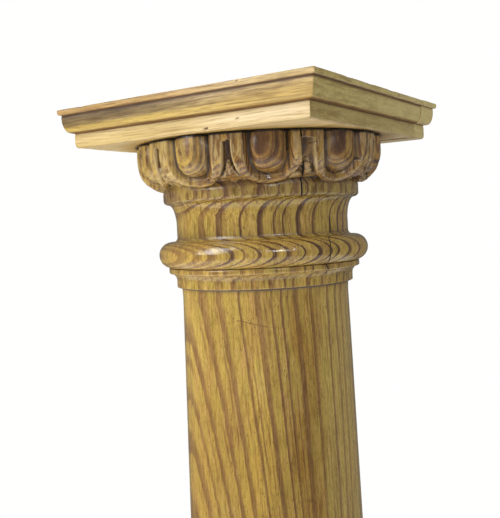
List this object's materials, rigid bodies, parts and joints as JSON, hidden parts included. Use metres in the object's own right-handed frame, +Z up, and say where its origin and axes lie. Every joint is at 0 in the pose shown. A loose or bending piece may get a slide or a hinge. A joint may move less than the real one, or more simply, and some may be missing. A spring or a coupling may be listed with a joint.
{
  "type": "carved wooden column",
  "caption": "Turned pine column with an egg-and-dart capital, a square moulded top plate and a square plinth, for use as a pedestal or support.",
  "frame": {"origin": "centre of the plinth's underside, on the floor", "axes": "+Z up along the column's axis; -Y is the plate's long-grain face, +X its end-grain face"},
  "size_m": [0.2502, 0.2488, 1.2],
  "materials": {
    "column_pine": "waxed, semi-gloss, strong brown growth stripes",
    "plate_pine": "waxed, fine long grain, worn edges",
    "strip_pine": "waxed, end grain at its ends",
    "plinth_pine": "waxed, plain"
  },
  "bodies": {
    "root": {"column": "column_pine", "top_plate_board": "plate_pine", "top_plate_back_strip": "strip_pine", "plinth": "plinth_pine"}
  },
  "joints": []
}
